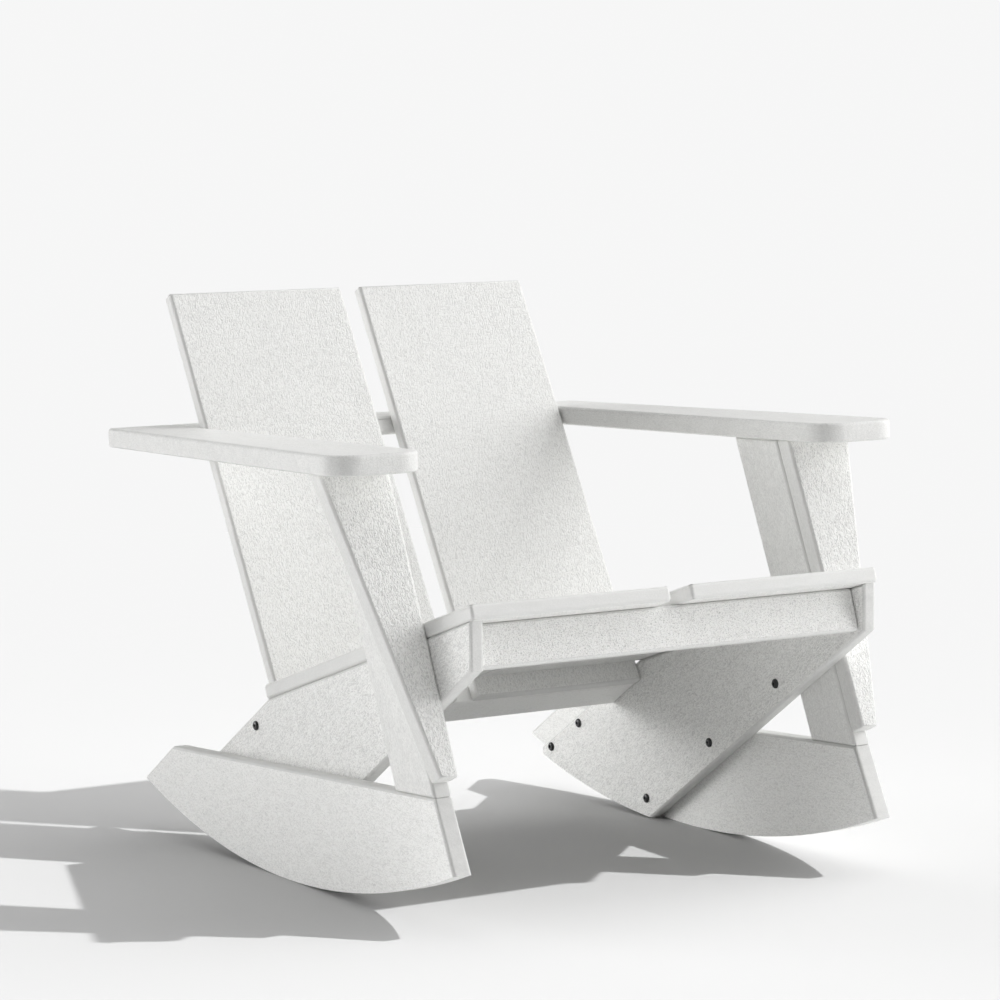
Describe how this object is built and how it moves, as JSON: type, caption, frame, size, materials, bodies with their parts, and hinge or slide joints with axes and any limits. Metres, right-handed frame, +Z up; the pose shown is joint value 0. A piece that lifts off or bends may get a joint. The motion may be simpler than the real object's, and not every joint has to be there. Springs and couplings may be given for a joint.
{
  "type": "rocking chair",
  "caption": "Low, deep-seated outdoor rocking chair of white plastic boards: sloping two-panel seat, high raked back, flared flat arms and curved rockers, made for sitting and rocking.",
  "frame": {"origin": "On the floor, midway between the two sides and midway between the chair's frontmost and rearmost points. The rockers touch the floor at Y = 0.0073 m.", "axes": "+Z up, -Y the way the sitter faces, +X towards the sitter's left hand, which is the viewer's right from the front. The chair is symmetric about the plane X = 0."},
  "size_m": [0.8184, 0.8075, 0.7118],
  "materials": {
    "rockers": "embossed matt",
    "legs": "embossed matt",
    "leg_fronts": "embossed matt",
    "side_rails": "embossed matt",
    "seat": "embossed matt",
    "apron": "embossed matt",
    "back": "embossed matt",
    "back_rails": "embossed matt",
    "arms": "smooth matt",
    "bolts": "black, semi-gloss"
  },
  "bodies": {
    "root": {"rocker_left": "rockers", "rocker_right": "rockers", "leg_left": "legs", "leg_right": "legs", "leg_front_left": "leg_fronts", "leg_front_right": "leg_fronts", "side_rail_left": "side_rails", "side_rail_right": "side_rails", "seat_panel_left": "seat", "seat_panel_right": "seat", "front_apron": "apron", "back_panel_left": "back", "back_panel_right": "back", "lower_back_rail": "back_rails", "upper_back_rail": "back_rails", "arm_left": "arms", "arm_right": "arms", "frame_bolts_left": "bolts", "frame_bolts_right": "bolts", "rail_bolt_left": "bolts", "rail_bolt_right": "bolts"}
  },
  "joints": []
}
